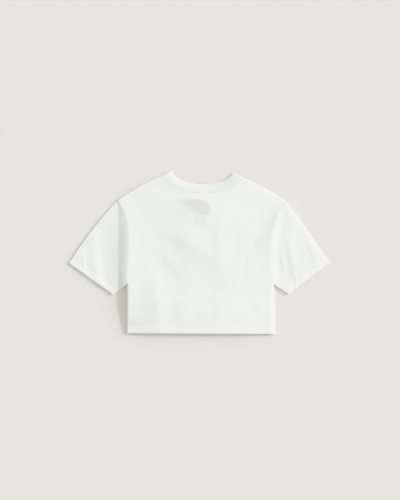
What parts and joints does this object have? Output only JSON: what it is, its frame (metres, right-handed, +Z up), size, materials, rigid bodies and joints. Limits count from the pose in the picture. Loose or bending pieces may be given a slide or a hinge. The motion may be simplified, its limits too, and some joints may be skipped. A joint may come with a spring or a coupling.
{
  "type": "t-shirt",
  "caption": "Cropped boxy T-shirt with dropped shoulders, a rib neckband and short sleeves, laid flat with its back uppermost.",
  "frame": {"origin": "on the surface that the shirt lies on, under the middle of its outline", "axes": "+Z up through the cloth, +Y from the hem towards the neck, +X towards the right-hand sleeve as seen from above"},
  "size_m": [0.767, 0.4812, 0.0128],
  "materials": {
    "jersey": "white cotton jersey, matt",
    "rib": "white cotton rib, matt",
    "label": "plain woven tape, blank"
  },
  "bodies": {
    "root": {"back": "jersey", "front": "jersey", "sleeve_left": "jersey", "sleeve_right": "jersey", "neckband": "rib", "neck_label": "label", "size_tab": "label"}
  },
  "joints": []
}
